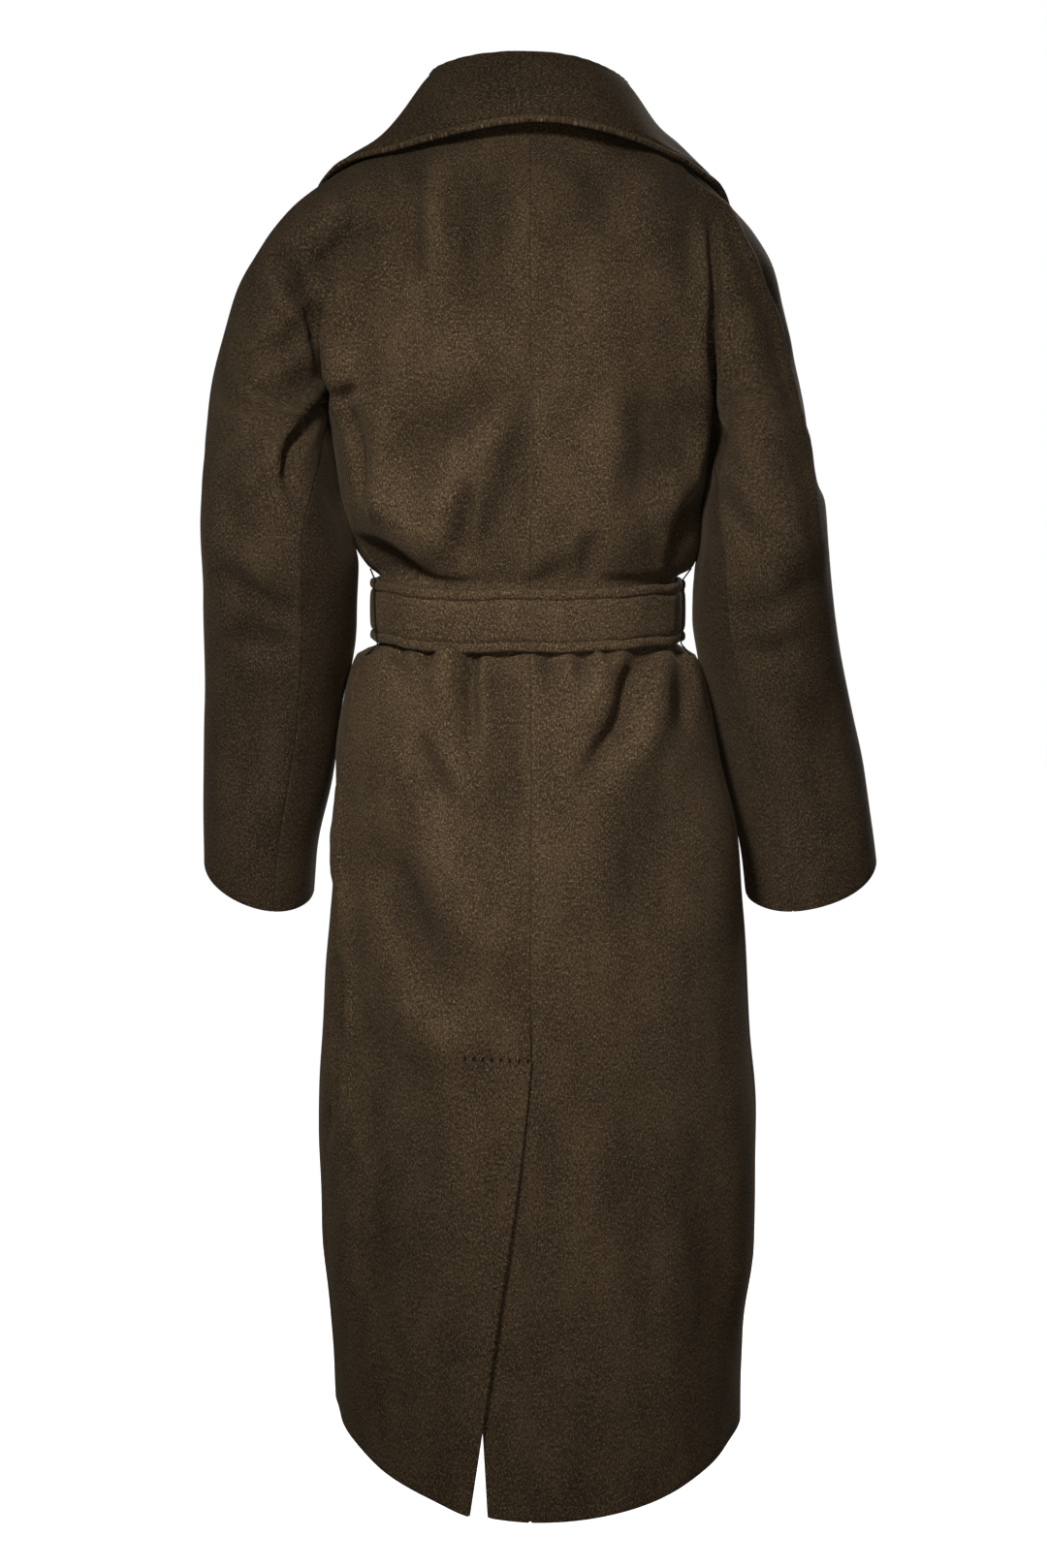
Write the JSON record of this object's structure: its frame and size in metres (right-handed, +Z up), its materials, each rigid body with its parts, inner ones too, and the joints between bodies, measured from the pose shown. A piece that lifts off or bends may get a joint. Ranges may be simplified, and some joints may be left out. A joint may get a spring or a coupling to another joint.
{
  "type": "long belted wrap coat",
  "caption": "Long wrap coat in brushed wool with cut-on sleeves, a wide turned-down collar, a tie belt and a back vent, hollow and in its worn form.",
  "frame": {"origin": "middle of the neck at the height of the nape seam, where the wearer's neck and shoulders hold the coat", "axes": "+Z up, -Y towards the coat's front, +X towards the wearer's left"},
  "size_m": [0.5654, 0.3336, 1.1744],
  "materials": {
    "brushed_wool": "short brushed nap, heathered, matt",
    "thread": "twisted sewing thread, matt"
  },
  "bodies": {
    "root": {"back_left": "brushed_wool", "back_right": "brushed_wool", "front_left": "brushed_wool", "front_right": "brushed_wool", "under_sleeve_left": "brushed_wool", "under_sleeve_right": "brushed_wool", "collar": "brushed_wool", "belt": "brushed_wool", "belt_knot": "brushed_wool", "belt_end_left": "brushed_wool", "belt_end_right": "brushed_wool", "belt_carrier_left": "thread", "belt_carrier_right": "thread"}
  },
  "joints": []
}
